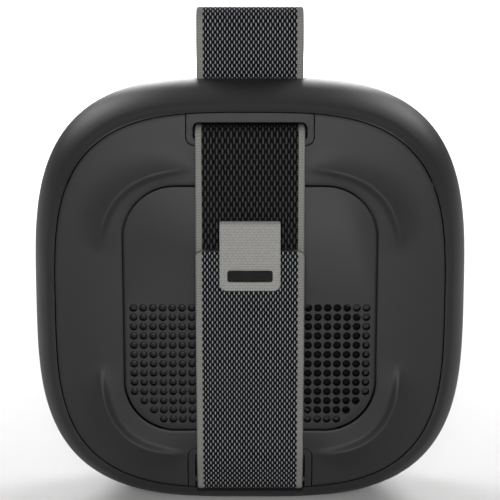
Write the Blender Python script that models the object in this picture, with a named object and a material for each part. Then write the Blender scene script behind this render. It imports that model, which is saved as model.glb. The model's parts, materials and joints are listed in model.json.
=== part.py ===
"""Pocket shower speaker with a webbing carry loop and a hook-and-loop strap.

Metres, +Z up. The perforated back faces +Y and the front grille faces -Y. Everything is drawn about
the middle of the body, and the speaker_frame empty lifts it so that it stands on z = 0, centred on its
bounding box.
"""

from math import copysign, cos, pi, radians, sin, sqrt, tau

import bmesh
import bpy
from mathutils import Matrix, Vector

MM = 0.001
GAP = 0.3 * MM

# The pillow-shaped body: a squircle outline whose shoulders roll over towards the front and the back.
BODY_WIDTH = 98.0 * MM
BODY_TOP = 49.3 * MM
BODY_BOTTOM = 48.35 * MM
BODY_DEPTH = 31.0 * MM
OUTLINE_EXPONENT = 3.3
SHOULDER_REACH = 10.5 * MM
SHOULDER_EXPONENT = 2.2
BASE_Z = -47.6 * MM
OUTLINE_POINTS = 64

# Rear cover, panel and strap guides.
SEAM_Y = 14.0 * MM
COVER_THICKNESS = 1.8 * MM
PANEL_HALF = 27.87 * MM
PANEL_CENTRE_Z = -0.42 * MM
PANEL_CORNER = 11.3 * MM
PANEL_THICKNESS = 1.5 * MM
PANEL_Y = 15.4 * MM
LEDGE_WIDTH = 1.6 * MM
FLOOR_Y = 12.8 * MM
FLOOR_THICKNESS = 1.2 * MM
HOLE_PITCH = 2.16 * MM
MICROPHONE_X = 12 * HOLE_PITCH
GUIDE_HALF_WIDTH = 13.95 * MM
GUIDE_CORNER = 1.8 * MM
TOP_GUIDE_LOW = 36.65 * MM
BOTTOM_GUIDE_HIGH = -33.05 * MM
SLOT_HALF_WIDTH = 12.45 * MM
REAR_SLOT = (38.6 * MM, 41.3 * MM)
BOTTOM_RECESS_HIGH = -34.2 * MM

# Webbing.
STRAP_WIDTH = 24.0 * MM
STRAP_THICKNESS = 1.3 * MM
UPPER_STRAP_END = -12.0 * MM
CLOSURE_END = 13.9 * MM
LOOP_Y = -3.5 * MM
LOOP_PIVOT = Vector((0, LOOP_Y, 47.6 * MM))
TOP_SLOT_HALF_DEPTH = 4.6 * MM
PIN_RADIUS = 0.9 * MM
PIN_HALF_LENGTH = 13.1 * MM
TOP_PIN = (-3.9 * MM, 41.0 * MM)
BOTTOM_PIN = (11.9 * MM, -41.3 * MM)
TAB_HALF_WIDTH = 6.7 * MM
TAB_LOW, TAB_HIGH = 5.2 * MM, 20.6 * MM
TAB_THICKNESS = 0.9 * MM

# Front.
GRILLE_INSET = 8.3 * MM
GRILLE_THICKNESS = 1.0 * MM
BAFFLE_FRONT = -11.6 * MM
BAFFLE_BACK = -9.4 * MM

# Driver and passive radiators.
FRONT_RADIATOR = (31.5 * MM, 0.0)
REAR_RADIATOR = (-18.8 * MM, -13.0 * MM)

# Buttons sit in a row on the front shoulder of the top.
BUTTON_Y = -11.0 * MM
BUTTON_SPACING = 12.0 * MM
BUTTON_HALF_LENGTH = 4.2 * MM
BUTTON_HALF_WIDTH = 2.0 * MM
BUTTON_DEPTH = 2.6 * MM
BUTTON_RISE = 0.45 * MM
STATUS_LIGHT_X = 31.5 * MM
STATUS_LIGHT_RADIUS = 1.0 * MM
BUTTON_NAMES = (
    "button_power",
    "button_volume_down",
    "button_play",
    "button_volume_up",
    "button_pairing",
)

# Charge port in the side wall.
PORT_Y = -3.0 * MM
PORT_Z = -8.0 * MM

SCREW_PLACES = ((21.6, 21.6), (-21.6, 21.6), (7.0, -24.5), (-7.0, -24.5))

# Depth of the whole object, from the grille to the label, is centred on y = 0.
LABEL_BACK = 20.8 * MM
FRAME_OFFSET = Vector((0, (BODY_DEPTH / 2 - LABEL_BACK) / 2, -BASE_Z))

CHARCOAL = (0.040, 0.040, 0.041)
DARK_PLASTIC = (0.028, 0.028, 0.029)
RUBBER = (0.02, 0.02, 0.02)
BLACK_CLOTH = (0.01, 0.01, 0.01)
DARK_WEBBING = (0.015, 0.015, 0.015)
PATTERNED_WEBBING = (0.05, 0.05, 0.05)
PALE_TAPE = (0.36, 0.36, 0.35)
COATED_STEEL = (0.03, 0.03, 0.03)
STEEL = (0.55, 0.55, 0.56)
COPPER = (0.6, 0.35, 0.15)


def clear_scene():
    for obj in list(bpy.data.objects):
        bpy.data.objects.remove(obj, do_unlink=True)


# ---------------------------------------------------------------- outlines


def shoulder_inset(y):
    """How far the outline has drawn in at depth y."""
    share = 1 - abs(2 * y / BODY_DEPTH) ** SHOULDER_EXPONENT
    return SHOULDER_REACH * (1 - max(share, 0) ** (1 / SHOULDER_EXPONENT))


def crown(inset):
    """Depth of the outer surface where the outline has drawn in by inset."""
    share = max(1 - inset / SHOULDER_REACH, 0)
    return BODY_DEPTH / 2 * (1 - share**SHOULDER_EXPONENT) ** (1 / SHOULDER_EXPONENT)


def angles(count):
    return [tau * index / count for index in range(count)]


def squircle(inset, count=OUTLINE_POINTS):
    """The body's outline drawn in by inset, as (x, z) points at even angles."""
    half_x = BODY_WIDTH / 2 - inset
    points = []
    for angle in angles(count):
        half_z = (BODY_TOP if sin(angle) > 0 else BODY_BOTTOM) - inset
        across = abs(cos(angle) / half_x) ** OUTLINE_EXPONENT
        upward = abs(sin(angle) / half_z) ** OUTLINE_EXPONENT
        radius = (across + upward) ** (-1 / OUTLINE_EXPONENT)
        points.append((radius * cos(angle), radius * sin(angle)))
    return points


def rounded_rectangle(half_x, half_z, corner, count=OUTLINE_POINTS):
    """A rounded rectangle as (x, z) points at the same even angles as the squircle."""
    points = []
    for angle in angles(count):
        along = Vector((abs(cos(angle)), abs(sin(angle))))
        reach = min(half_x / max(along.x, 1e-9), half_z / max(along.y, 1e-9))
        hit = along * reach
        centre = Vector((half_x - corner, half_z - corner))
        if hit.x > centre.x and hit.y > centre.y:
            middle = along.dot(centre)
            reach = middle + sqrt(max(middle**2 - centre.length_squared + corner**2, 0))
        points.append((reach * cos(angle), reach * sin(angle)))
    return points


def pill(half_length, half_width, steps=6):
    """A round-ended slot outline, long in x."""
    points = []
    for side in (1, -1):
        for step in range(steps + 1):
            angle = pi * step / steps - pi / 2
            reach = half_length - half_width + half_width * cos(angle)
            points.append((side * reach, side * half_width * sin(angle)))
    return points


def shift(outline, x, z):
    return [(px + x, pz + z) for px, pz in outline]


def blend(first, second, share):
    """The outline part of the way from the first to the second."""
    points = []
    for (x, z), (other_x, other_z) in zip(first, second):
        points.append((x + share * (other_x - x), z + share * (other_z - z)))
    return points


def ring(outline, y, lowest=None):
    """An (x, z) outline stood up at depth y. A lowest z flattens the base."""
    return [Vector((x, y, z if lowest is None else max(z, lowest))) for x, z in outline]


# ---------------------------------------------------------------- solids


def loft(rings, closed=False):
    """A solid through rings of points: a closed tube of rings, or one that ends in two flat caps."""
    shape = bmesh.new()
    rows = [[shape.verts.new(point) for point in points] for points in rings]
    pairs = list(zip(rows, rows[1:]))
    if closed:
        pairs.append((rows[-1], rows[0]))
    else:
        shape.faces.new(rows[0])
        shape.faces.new(reversed(rows[-1]))
    for low, high in pairs:
        for index in range(len(low)):
            after = (index + 1) % len(low)
            shape.faces.new((low[index], high[index], high[after], low[after]))
    bmesh.ops.recalc_face_normals(shape, faces=shape.faces)
    return shape


def prism(outline, y_low, y_high):
    return loft([ring(outline, y_low), ring(outline, y_high)])


def box(low, high):
    corners = [(low[0], low[2]), (high[0], low[2]), (high[0], high[2]), (low[0], high[2])]
    return prism(corners, low[1], high[1])


def box_in_mm(low, high):
    return box([value * MM for value in low], [value * MM for value in high])


def turned(profile, centre=(0.0, 0.0), closed=True, segments=24):
    """Turns (radius, y) points about the Y axis through centre."""
    rings = []
    for radius, y in profile:
        circle = [(radius * cos(angle), radius * sin(angle)) for angle in angles(segments)]
        rings.append(ring(shift(circle, *centre), y))
    return loft(rings, closed)


def smooth_route(points, steps=4):
    """A smooth curve through hand-placed (y, z) points."""
    ends = [points[0]] + list(points) + [points[-1]]
    route = []
    for index in range(len(points) - 1):
        before, start, stop, after = (Vector(point) for point in ends[index : index + 4])
        for step in range(steps):
            t = step / steps
            bend = 2 * before - 5 * start + 4 * stop - after
            swing = -before + 3 * start - 3 * stop + after
            route.append(0.5 * (2 * start + (stop - before) * t + bend * t**2 + swing * t**3))
    route.append(Vector(points[-1]))
    return route


def ribbon(route, thickness, width):
    """A flat band that follows a (y, z) route, as wide as width along X."""
    rings = []
    for index, point in enumerate(route):
        before = route[max(index - 1, 0)]
        after = route[min(index + 1, len(route) - 1)]
        along = (after - before).normalized()
        normal = Vector((-along.y, along.x)) * thickness / 2
        outer, inner = point + normal, point - normal
        corners = ((1, outer), (-1, outer), (-1, inner), (1, inner))
        rings.append([Vector((side * width / 2, corner.x, corner.y)) for side, corner in corners])
    return loft(rings)


def arc(centre, radius, start, stop, steps=6):
    """(y, z) points round centre, with angles in degrees from +Y towards +Z."""
    points = []
    for step in range(steps + 1):
        angle = radians(start + (stop - start) * step / steps)
        points.append((centre[0] + radius * cos(angle), centre[1] + radius * sin(angle)))
    return points


def in_mm(*pairs):
    return [(first * MM, second * MM) for first, second in pairs]


# ---------------------------------------------------------------- objects


def finish(name, colour, roughness, metallic=0.0):
    material = bpy.data.materials.new(name)
    material.use_nodes = True
    shader = material.node_tree.nodes["Principled BSDF"]
    shader.inputs["Base Color"].default_value = (*colour, 1.0)
    shader.inputs["Roughness"].default_value = roughness
    shader.inputs["Metallic"].default_value = metallic
    return material


def add(name, shape, colour, roughness=0.5, metallic=0.0, origin=(0, 0, 0)):
    """Makes the named piece. Its origin is the point given, which for a moving piece lies on its joint."""
    shape.transform(Matrix.Translation(-Vector(origin)))
    mesh = bpy.data.meshes.new(name)
    shape.to_mesh(mesh)
    shape.free()
    mesh.shade_smooth()
    mesh.set_sharp_from_angle(angle=radians(35))
    mesh.materials.append(finish(name, colour, roughness, metallic))
    obj = bpy.data.objects.new(name, mesh)
    bpy.context.scene.collection.objects.link(obj)
    obj.parent = bpy.data.objects["speaker_frame"]
    obj.location = origin
    return obj


def helper(name, shape):
    """A hidden solid that other pieces are cut with."""
    obj = add(name, shape, CHARCOAL)
    obj.hide_render = True
    obj.display_type = "WIRE"
    return obj


def combine(obj, other, operation="DIFFERENCE"):
    modifier = obj.modifiers.new(other.name, "BOOLEAN")
    modifier.operation = operation
    modifier.solver = "EXACT"
    modifier.object = other


def add_frame():
    frame = bpy.data.objects.new("speaker_frame", None)
    bpy.context.scene.collection.objects.link(frame)
    frame.location = FRAME_OFFSET


# ---------------------------------------------------------------- housing and rear cover


def add_pillow():
    """The full outer form of the body, which flush inserts are trimmed to."""
    insets = [10.5, 8.6, 7.0, 5.4, 3.8, 2.4, 1.2]
    rings = [ring(squircle(0.0), 0.0)]
    rings += [ring(squircle(inset * MM), crown(inset * MM)) for inset in reversed(insets)]
    return helper("pillow_form", loft(rings))


def add_front_housing():
    seam_inset = shoulder_inset(SEAM_Y)
    outer_depths = [14.0, 13.0, 11.6, 9.4, 6.7, 3.7, 0.0, -3.7, -6.7, -9.4, -11.6, -13.4, -15.1]
    rings = []
    for y in outer_depths:
        rings.append(ring(squircle(shoulder_inset(y * MM)), y * MM, BASE_Z))
    inner_profile = in_mm(
        (8.0, -11.2), (5.8, -9.5), (3.4, -6.5), (2.5, -2.5), (2.5, 2.5), (3.4, 6.5), (4.9, 9.6)
    )
    rings += [ring(squircle(inset), y) for inset, y in inner_profile]
    rings.append(ring(squircle(seam_inset), 10.6 * MM))
    housing = add("front_housing", loft(rings, closed=True), CHARCOAL, 0.55)

    slot = box(
        (-SLOT_HALF_WIDTH, LOOP_Y - TOP_SLOT_HALF_DEPTH, 40 * MM),
        (SLOT_HALF_WIDTH, LOOP_Y + TOP_SLOT_HALF_DEPTH, 52 * MM),
    )
    combine(housing, helper("top_slot", slot))
    notch = box((-SLOT_HALF_WIDTH, 8.0 * MM, -44.1 * MM), (SLOT_HALF_WIDTH, 15.0 * MM, -41.0 * MM))
    combine(housing, helper("strap_notch", notch))
    port = port_tube(4.8 * MM, 1.95 * MM, -52 * MM, -44 * MM)
    combine(housing, helper("port_opening", port))
    for index, name in enumerate(BUTTON_NAMES):
        well = button_shape(index, GAP, -7.0 * MM, 4.0 * MM)
        combine(housing, helper(name + "_well", well))
    well = shoulder_peg(STATUS_LIGHT_X, STATUS_LIGHT_RADIUS + GAP, -6.0 * MM, 3.0 * MM)
    combine(housing, helper("status_light_well", well))
    return housing


def panel_outline(grow):
    """The rear panel's rounded square, grown on every side."""
    side = PANEL_HALF + grow
    return shift(rounded_rectangle(side, side, PANEL_CORNER + grow), 0, PANEL_CENTRE_Z)


def add_rear_cover():
    edge_inset = shoulder_inset(SEAM_Y) + GAP
    panel_hole = panel_outline(GAP)
    floor_edge = panel_outline(-LEDGE_WIDTH)
    edge = squircle(edge_inset)
    hole_inset = BODY_WIDTH / 2 - PANEL_HALF - GAP
    ledge_y = PANEL_Y - PANEL_THICKNESS - GAP
    outer, inner = [], []
    for share in (0.0, 0.3, 0.65, 1.0):
        inset = edge_inset + share * (hole_inset - edge_inset)
        outline = blend(edge, panel_hole, share)
        outer.append(ring(outline, crown(inset)))
        inner.append(ring(outline, crown(inset) - COVER_THICKNESS))
    inner[-1] = ring(panel_hole, FLOOR_Y - FLOOR_THICKNESS)
    inner[0] = ring(edge, 11.0 * MM)
    floor = [ring(panel_hole, ledge_y), ring(floor_edge, ledge_y), ring(floor_edge, FLOOR_Y)]
    cover = add("rear_cover", loft(list(reversed(inner)) + outer + floor), CHARCOAL, 0.5)

    half = GUIDE_HALF_WIDTH + GAP
    top_notch = guide_outline(half, TOP_GUIDE_LOW - GAP, 60 * MM, GUIDE_CORNER + GAP)
    bottom_notch = guide_outline(half, -60 * MM, BOTTOM_GUIDE_HIGH + GAP, GUIDE_CORNER + GAP)
    combine(cover, helper("top_guide_notch", prism(top_notch, 5 * MM, 20 * MM)))
    combine(cover, helper("bottom_guide_notch", prism(bottom_notch, 5 * MM, 20 * MM)))
    window = shift(rounded_rectangle(6.4 * MM, 12.4 * MM, 6.0 * MM, 32), *REAR_RADIATOR)
    combine(cover, helper("rear_radiator_window", prism(window, 9 * MM, 16 * MM)))
    for index, (x, z) in enumerate(SCREW_PLACES, 1):
        clear = turned([(1.25 * MM, 9 * MM), (1.25 * MM, 16 * MM)], (x * MM, z * MM), False, 12)
        combine(cover, helper(f"cover_hole_{index}", clear))
    sound_hole = turned([(0.8 * MM, 9 * MM), (0.8 * MM, 18 * MM)], (MICROPHONE_X, 0.0), False, 12)
    combine(cover, helper("microphone_hole", sound_hole))
    return cover


def guide_outline(half_x, low, high, corner):
    """A rounded rectangle from low to high, drawn corner by corner."""
    points = []
    corners = ((1, high, 0), (-1, high, 90), (-1, low, 180), (1, low, 270))
    for side, edge, start in corners:
        centre_x = side * (half_x - corner)
        centre_z = edge - corner if edge == high else edge + corner
        for step in range(4):
            angle = radians(start + 30 * step)
            points.append((centre_x + corner * cos(angle), centre_z + corner * sin(angle)))
    return points


def add_rear_panel():
    rings = [ring(panel_outline(0.0), y) for y in (PANEL_Y - PANEL_THICKNESS, PANEL_Y - 0.3 * MM)]
    rings.append(ring(panel_outline(-0.3 * MM), PANEL_Y))
    panel = add("rear_panel", loft(rings), CHARCOAL, 0.5)
    combine(panel, bpy.data.objects["microphone_hole"])
    mesh_outline = shift(rounded_rectangle(8.2 * MM, 13.2 * MM, 8.0 * MM, 32), -17.5 * MM, -12.2 * MM)
    add("rear_acoustic_mesh", prism(mesh_outline, 13.1 * MM, 13.5 * MM), BLACK_CLOTH, 0.9)


def add_strap_guides(pillow):
    top = guide_outline(GUIDE_HALF_WIDTH, TOP_GUIDE_LOW, 50 * MM, GUIDE_CORNER)
    top_guide = add("strap_guide_top", prism(top, 9.5 * MM, 20 * MM), DARK_PLASTIC, 0.5)
    slot = box((-SLOT_HALF_WIDTH, 5 * MM, REAR_SLOT[0]), (SLOT_HALF_WIDTH, 22 * MM, REAR_SLOT[1]))
    bottom = guide_outline(GUIDE_HALF_WIDTH, -50 * MM, BOTTOM_GUIDE_HIGH, GUIDE_CORNER)
    bottom_guide = add("strap_guide_bottom", prism(bottom, 8.2 * MM, 20 * MM), DARK_PLASTIC, 0.5)
    recess = box((-SLOT_HALF_WIDTH, 9.2 * MM, -50 * MM), (SLOT_HALF_WIDTH, 22 * MM, BOTTOM_RECESS_HIGH))
    inner_limit = helper("seam_limit", prism(squircle(shoulder_inset(SEAM_Y) + GAP), 5 * MM, 22 * MM))
    for guide in (top_guide, bottom_guide):
        combine(guide, pillow, "INTERSECT")
        combine(guide, inner_limit, "INTERSECT")
    combine(top_guide, helper("rear_slot", slot))
    combine(bottom_guide, helper("bottom_recess", recess))
    bore = crosswise_pin(BOTTOM_PIN, PIN_RADIUS + GAP, PIN_HALF_LENGTH + GAP)
    combine(bottom_guide, helper("bottom_pin_bore", bore))
    pin = crosswise_pin(BOTTOM_PIN, PIN_RADIUS, PIN_HALF_LENGTH)
    add("strap_pin_bottom", pin, STEEL, 0.3, 1.0)


def crosswise_pin(centre, radius, half_length):
    """A round pin along X at a (y, z) centre."""
    circle = [(centre[0] + radius * cos(a), centre[1] + radius * sin(a)) for a in angles(12)]
    return side_prism(circle, half_length)


def side_prism(outline, half_width):
    """A solid of a (y, z) outline, as wide as twice half_width along X."""
    return loft([[Vector((x, y, z)) for y, z in outline] for x in (-half_width, half_width)])


def add_strap_channel():
    """The sealed duct that joins the slot on top to the slot in the back."""
    outer = in_mm(
        (9.2, 36.9), (9.2, 43.0), (3.5, 43.0), (2.4, 44.0), (2.4, 45.0), (-9.4, 41.2), (-9.4, 39.2),
        (-6.6, 36.9),
    )
    inner = in_mm(
        (12.0, 38.0), (12.0, 41.9), (3.0, 41.9), (1.2, 43.5), (1.2, 50.0), (-8.3, 50.0), (-8.3, 39.7),
        (-6.2, 38.0),
    )
    channel = add("strap_channel", side_prism(outer, 13.6 * MM), DARK_PLASTIC, 0.5)
    combine(channel, helper("channel_space", side_prism(inner, SLOT_HALF_WIDTH)))
    bore = crosswise_pin(TOP_PIN, PIN_RADIUS + GAP, PIN_HALF_LENGTH + GAP)
    combine(channel, helper("top_pin_bore", bore))
    add("strap_pin_top", crosswise_pin(TOP_PIN, PIN_RADIUS, PIN_HALF_LENGTH), STEEL, 0.3, 1.0)


# ---------------------------------------------------------------- webbing


def add_upper_strap():
    wrap = arc(TOP_PIN, 1.9 * MM, 180, 290)
    start = in_mm((-6.2, 43.2), (-6.0, 42.2))
    through_slot = in_mm((0.0, 39.7), (6.0, 39.9), (11.0, 40.1), (14.2, 40.3), (15.9, 39.8))
    down_the_back = in_mm((16.6, 38.6), (16.6, 37.0), (16.5, 35.0), (16.5, 28.0), (16.45, 10.0))
    end = [(16.45 * MM, UPPER_STRAP_END)]
    route = smooth_route(start + wrap + through_slot + down_the_back + end)
    add("upper_strap", ribbon(route, STRAP_THICKNESS, STRAP_WIDTH), DARK_WEBBING, 0.9)


def add_closure_strap():
    origin = (0, *BOTTOM_PIN)
    wrap = arc(BOTTOM_PIN, PIN_RADIUS + 0.1 * MM + STRAP_THICKNESS / 2, -215, 0, 9)
    out_of_recess = in_mm((14.5, -38.9), (15.5, -36.6), (16.2, -34.0), (16.4, -29.0))
    over_upper_strap = in_mm((16.6, -21.0), (17.5, -16.5), (18.4, -12.0), (18.6, -6.0))
    end = [(18.6 * MM, CLOSURE_END)]
    route = smooth_route(wrap + out_of_recess + over_upper_strap + end, 3)
    strap = ribbon(route, STRAP_THICKNESS, STRAP_WIDTH)
    add("closure_strap", strap, PATTERNED_WEBBING, 0.9, origin=origin)
    hook = box_in_mm((-11, 17.25, -7), (11, 17.75, 12))
    add("hook_patch", hook, BLACK_CLOTH, 0.9, origin=origin)
    add_pull_tab(origin)


def add_pull_tab(origin):
    """A folded tape at the closure's free end, with a blank label near its lower edge."""
    outer_y, inner_y = 19.85 * MM, 18.25 * MM
    fold = (outer_y - inner_y) / 2
    fold_z = TAB_HIGH - fold - TAB_THICKNESS / 2
    bend = arc((inner_y + fold, fold_z), fold, 0, 180)
    front = [(outer_y, TAB_LOW), (outer_y, 12 * MM)]
    back = [(inner_y, CLOSURE_END + 0.5 * MM)]
    tab = ribbon([Vector(point) for point in front + bend + back], TAB_THICKNESS, 2 * TAB_HALF_WIDTH)
    add("pull_tab", tab, PALE_TAPE, 0.9, origin=origin)
    label = shift(guide_outline(4.95 * MM, -1.25 * MM, 1.25 * MM, 0.3 * MM), 0, 8.5 * MM)
    add("tab_label", prism(label, 20.45 * MM, LABEL_BACK), RUBBER, 0.5, origin=origin)


def add_carry_loop():
    fold_radius = 3.55 * MM
    fold_z = 60.6 * MM
    rear_leg = in_mm((-0.5, 45.4), (-0.5, 47.5), (-0.2, 51.0), (0.05, 55.0))
    front_leg = [(2 * LOOP_Y - y, z) for y, z in reversed(rear_leg)]
    route = smooth_route(rear_leg + arc((LOOP_Y, fold_z), fold_radius, 0, 180, 8) + front_leg, 3)
    loop = ribbon(route, STRAP_THICKNESS, STRAP_WIDTH)
    add("carry_loop", loop, PATTERNED_WEBBING, 0.9, origin=LOOP_PIVOT)


# ---------------------------------------------------------------- front and chassis


def add_front_grille():
    insets = [GRILLE_INSET, 9.4 * MM, SHOULDER_REACH, 24.0 * MM]
    outer = [ring(squircle(inset), -crown(inset)) for inset in insets]
    inner = [ring(squircle(inset), GRILLE_THICKNESS - crown(inset)) for inset in insets]
    add("front_grille", loft(list(reversed(outer)) + inner), COATED_STEEL, 0.4, 0.6)
    cloth = prism(squircle(9.6 * MM), -12.5 * MM, -12.1 * MM)
    add("front_grille_cloth", cloth, BLACK_CLOTH, 0.9)


def add_front_baffle():
    plate = prism(squircle(8.4 * MM), BAFFLE_FRONT, BAFFLE_BACK)
    baffle = add("front_baffle", plate, DARK_PLASTIC, 0.5)
    for index, (x, z) in enumerate(SCREW_PLACES, 1):
        centre = (x * MM, z * MM)
        post = turned([(2.4 * MM, -10.5 * MM), (2.4 * MM, 11.2 * MM)], centre, False, 16)
        combine(baffle, helper(f"post_{index}", post), "UNION")
        bore = turned([(1.2 * MM, -1 * MM), (1.2 * MM, 14 * MM)], centre, False, 12)
        combine(baffle, helper(f"post_bore_{index}", bore))
        screw = [(0.9, 0.5), (0.9, 12.95), (1.9, 12.95), (1.9, 13.55)]
        add(f"cover_screw_{index}", turned(in_mm(*screw), centre, False, 12), STEEL, 0.3, 1.0)
    opening = turned([(20.3 * MM, -14 * MM), (20.3 * MM, -5 * MM)], closed=False, segments=32)
    combine(baffle, helper("driver_opening", opening))
    window = shift(rounded_rectangle(5.2 * MM, 15.2 * MM, 5.0 * MM, 32), *FRONT_RADIATOR)
    combine(baffle, helper("front_radiator_window", prism(window, -14 * MM, -5 * MM)))


def add_seals():
    section = in_mm((4.5, 7.0), (4.5, 7.7), (5.4, 7.7), (5.4, 7.0))
    gasket = [ring(squircle(inset), y) for inset, y in section]
    add("rear_cover_gasket", loft(gasket, closed=True), RUBBER, 0.8)
    driver_gasket = turned(in_mm((19.4, -9.1), (22.0, -9.1), (22.0, -8.8), (19.4, -8.8)))
    add("driver_gasket", driver_gasket, RUBBER, 0.9)


# ---------------------------------------------------------------- driver and radiators


def add_driver():
    basket = in_mm(
        (22.0, -8.5), (22.0, -7.3), (20.6, -7.3), (14.4, -0.6), (14.4, 1.2), (6.6, 1.2), (6.6, 0.4),
        (13.2, 0.4), (13.2, -1.4), (19.3, -7.6), (19.3, -8.5),
    )
    basket_object = add("driver_basket", turned(basket), (0.2, 0.2, 0.2), 0.4, 0.8)
    sideways = box_in_mm((-24, -6, -4), (24, -2, 4))
    upright = box_in_mm((-4, -6, -24), (4, -2, 24))
    combine(basket_object, helper("basket_window_1", sideways))
    combine(basket_object, helper("basket_window_2", upright))
    add_motor()
    add_moving_parts()


def add_motor():
    top_plate = in_mm((6.1, 1.5), (13.5, 1.5), (13.5, 3.0), (6.1, 3.0))
    add("driver_top_plate", turned(top_plate), STEEL, 0.4, 1.0)
    magnet = in_mm((7.2, 3.3), (13.0, 3.3), (13.0, 7.0), (7.2, 7.0))
    add("driver_magnet", turned(magnet), (0.05, 0.05, 0.05), 0.6)
    yoke = in_mm((4.9, 1.5), (4.9, 7.3), (13.5, 7.3), (13.5, 8.9))
    add("driver_yoke", turned(yoke, closed=False), STEEL, 0.4, 1.0)


def add_moving_parts():
    """The voice coil, cone and dust cap, with the spider and the surround that they hang in."""
    spider = in_mm((6.2, -2.4), (12.6, -2.4), (12.6, -2.0), (6.2, -2.0))
    add("driver_spider", turned(spider), (0.5, 0.35, 0.15), 0.9)
    surround = in_mm(
        (16.3, -8.3), (17.0, -9.0), (18.2, -9.0), (19.0, -8.3), (19.0, -7.8), (18.1, -8.5), (17.1, -8.5),
        (16.3, -7.8),
    )
    add("driver_surround", turned(surround), RUBBER, 0.8)
    coil = in_mm((5.2, -2.9), (5.8, -2.9), (5.8, 4.4), (5.2, 4.4))
    add("voice_coil", turned(coil), (0.6, 0.3, 0.12), 0.4, 0.8)
    cone = in_mm((5.3, -3.2), (16.0, -8.1), (16.0, -8.6), (5.3, -3.8))
    add("driver_cone", turned(cone), (0.03, 0.03, 0.03), 0.8)
    cap = in_mm((1.5, -6.3), (4.2, -5.9), (6.6, -4.9), (6.6, -4.5), (4.2, -5.4), (1.5, -5.8))
    add("driver_dust_cap", turned(cap, closed=False), RUBBER, 0.6)


def racetrack_ring(centre, outer, inner, corner, y_low, y_high):
    """A flat racetrack ring between two half sizes given as (x, z)."""
    rings = []
    for (half_x, half_z), y in ((outer, y_low), (outer, y_high), (inner, y_high), (inner, y_low)):
        outline = rounded_rectangle(half_x, half_z, min(corner, half_x - 0.1 * MM), 32)
        rings.append(ring(shift(outline, *centre), y))
    return loft(rings, closed=True)


def add_passive_radiator(name, centre, half_x, half_z, y_low):
    """One racetrack radiator: a clamping frame, a rubber surround and the weighted plate that moves."""
    corner = half_x - 0.2 * MM
    frame_outer = (half_x + 2.0 * MM, half_z + 2.0 * MM)
    frame_inner = (half_x + 0.2 * MM, half_z + 0.2 * MM)
    frame = racetrack_ring(centre, frame_outer, frame_inner, corner, y_low, y_low + 1.5 * MM)
    add(f"{name}_radiator_frame", frame, DARK_PLASTIC, 0.5)
    rubber_inner = (half_x - 2.0 * MM, half_z - 2.0 * MM)
    surround = racetrack_ring(
        centre, (half_x, half_z), rubber_inner, corner, y_low + 0.5 * MM, y_low + 1.0 * MM
    )
    add(f"{name}_radiator_surround", surround, RUBBER, 0.8)
    outline = rounded_rectangle(half_x - 2.3 * MM, half_z - 2.3 * MM, half_x - 2.5 * MM, 32)
    plate = prism(shift(outline, *centre), y_low + 0.2 * MM, y_low + 1.3 * MM)
    add(f"{name}_radiator_plate", plate, (0.1, 0.1, 0.1), 0.5, 0.5)


# ---------------------------------------------------------------- electronics


def add_power():
    cradle = add("battery_cradle", box_in_mm((24.6, -4.2, -19.4), (39.0, 5.0, 19.4)), DARK_PLASTIC, 0.5)
    combine(cradle, helper("battery_space", box_in_mm((25.5, -3.3, -18.5), (38.1, 9.0, 18.5))))
    add("battery_cell", box_in_mm((25.9, -3.0, -18.1), (37.7, 7.6, 18.1)), (0.1, 0.2, 0.4), 0.4)
    add("battery_pad", box_in_mm((28.0, 7.9, -17.0), (37.0, 11.2, 17.0)), (0.03, 0.03, 0.03), 0.95)


def add_boards():
    add("main_board", box_in_mm((-39.0, 0.0, -18.0), (-24.6, 1.2, 19.0)), (0.02, 0.10, 0.05), 0.5)
    add("amplifier_chip", box_in_mm((-35, 1.5, -14), (-29, 2.5, -8)), RUBBER, 0.4)
    add("radio_module", box_in_mm((-37, 1.5, 4), (-27, 3.5, 16)), STEEL, 0.3, 1.0)
    add("antenna_strip", box_in_mm((-41.4, -2, 20), (-41.0, 4, 28)), COPPER, 0.3, 1.0)
    half = 1.5 * MM
    low = (MICROPHONE_X - half, 10.2 * MM, -half)
    high = (MICROPHONE_X + half, 11.3 * MM, half)
    add("microphone", box(low, high), STEEL, 0.3, 1.0)
    battery_leads = (
        (34, 3, -20.2), (33, 3, -24), (26, 3, -28.5), (14, 3, -30), (0, 3, -30.5), (-14, 3, -30),
        (-26, 2.6, -28), (-31.5, 1.4, -23), (-32, 0.6, -18.6),
    )
    driver_leads = (
        (-24.1, 0.6, 6), (-22.0, 0.6, 5.8), (-19.5, 0.6, 4.2), (-17.5, 0.6, 2.6), (-15.0, 0.6, 2.0),
    )
    for name, points in (("battery_leads", battery_leads), ("driver_leads", driver_leads)):
        add_lead(name, [Vector(point) * MM for point in points], 0.5 * MM)


def add_lead(name, points, radius):
    """An insulated wire pair held inside the housing, as one round tube."""
    curve = bpy.data.curves.new(name, "CURVE")
    curve.dimensions = "3D"
    curve.bevel_depth = radius
    curve.bevel_resolution = 2
    curve.use_fill_caps = True
    spline = curve.splines.new("POLY")
    spline.points.add(len(points) - 1)
    for point, place in zip(spline.points, points):
        point.co = (*place, 1.0)
    curve.materials.append(finish(name, (0.03, 0.03, 0.03), 0.5))
    obj = bpy.data.objects.new(name, curve)
    bpy.context.scene.collection.objects.link(obj)
    obj.parent = bpy.data.objects["speaker_frame"]


def port_ring(half_y, half_z, x):
    """A round-ended outline, long in Z, stood up across X for the port in the side wall."""
    return [Vector((x, PORT_Y + across, PORT_Z + along)) for along, across in pill(half_y, half_z)]


def port_tube(half_y, half_z, start, end):
    return loft([port_ring(half_y, half_z, x) for x in (start, end)])


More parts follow.
